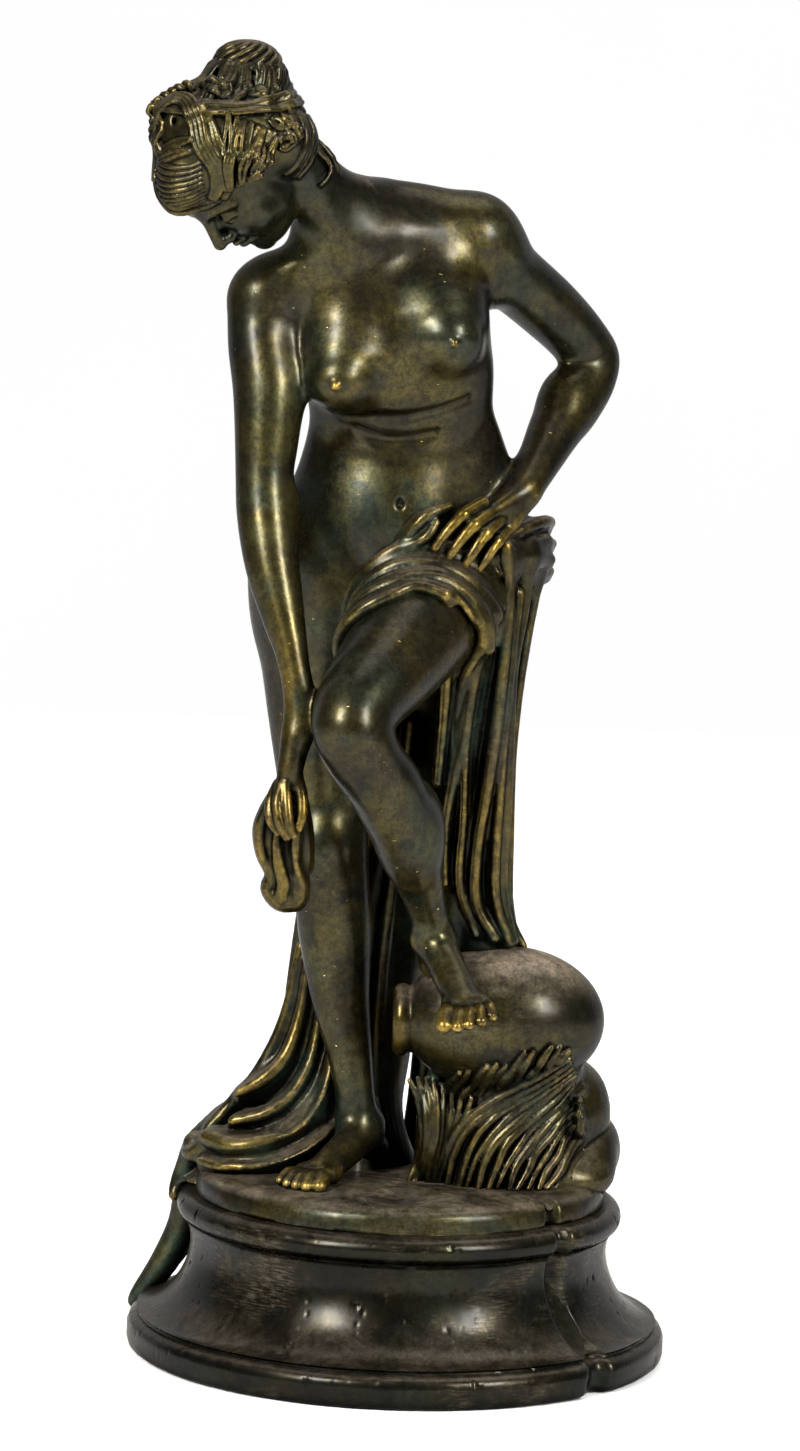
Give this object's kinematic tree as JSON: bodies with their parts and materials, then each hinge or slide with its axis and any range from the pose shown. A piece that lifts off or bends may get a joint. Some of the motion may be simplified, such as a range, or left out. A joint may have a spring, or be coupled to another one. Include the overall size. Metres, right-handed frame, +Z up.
{
  "type": "statuette",
  "caption": "Patinated bronze statuette of a standing bather with one foot on a tipped water jar, on a round hollow socle.",
  "frame": {"origin": "middle of the round socle's foot, on the surface it stands on", "axes": "+Z up, -Y the front that the figure's raised knee points to, +X to the viewer's right"},
  "size_m": [0.1044, 0.1028, 0.2484],
  "materials": {
    "bronze_flesh": "dark brown-green patina over bronze, rubbed golden on the high points",
    "bronze_head": "dark brown patina, chased hair, worn on the strands",
    "bronze_drapery": "dark green-brown patina with rubbed fold ridges",
    "bronze_jar": "brown patina, dusty on top",
    "bronze_rockwork": "nearly black patina with rubbed ridges",
    "bronze_socle": "nearly black-brown patina, polished bead",
    "bronze_pins": "filed bronze",
    "steel_fixings": "turned steel, slightly dulled"
  },
  "bodies": {
    "root": {"back_drapery": "bronze_drapery", "cloth_pin": "bronze_pins", "core_plugs": "bronze_pins", "fixing_nuts": "steel_fixings", "fixing_studs": "steel_fixings", "fixing_washers": "steel_fixings", "head": "bronze_head", "held_cloth": "bronze_drapery", "hip_drapery": "bronze_drapery", "left_arm": "bronze_flesh", "neck_pin": "bronze_pins", "raised_leg": "bronze_flesh", "reed_bank": "bronze_rockwork", "right_arm": "bronze_flesh", "rock": "bronze_rockwork", "shoulder_pins": "bronze_pins", "side_drapery": "bronze_drapery", "socle": "bronze_socle", "standing_leg": "bronze_flesh", "terrace": "bronze_rockwork", "thigh_pins": "bronze_pins", "torso": "bronze_flesh", "water_jar": "bronze_jar"}
  },
  "joints": []
}
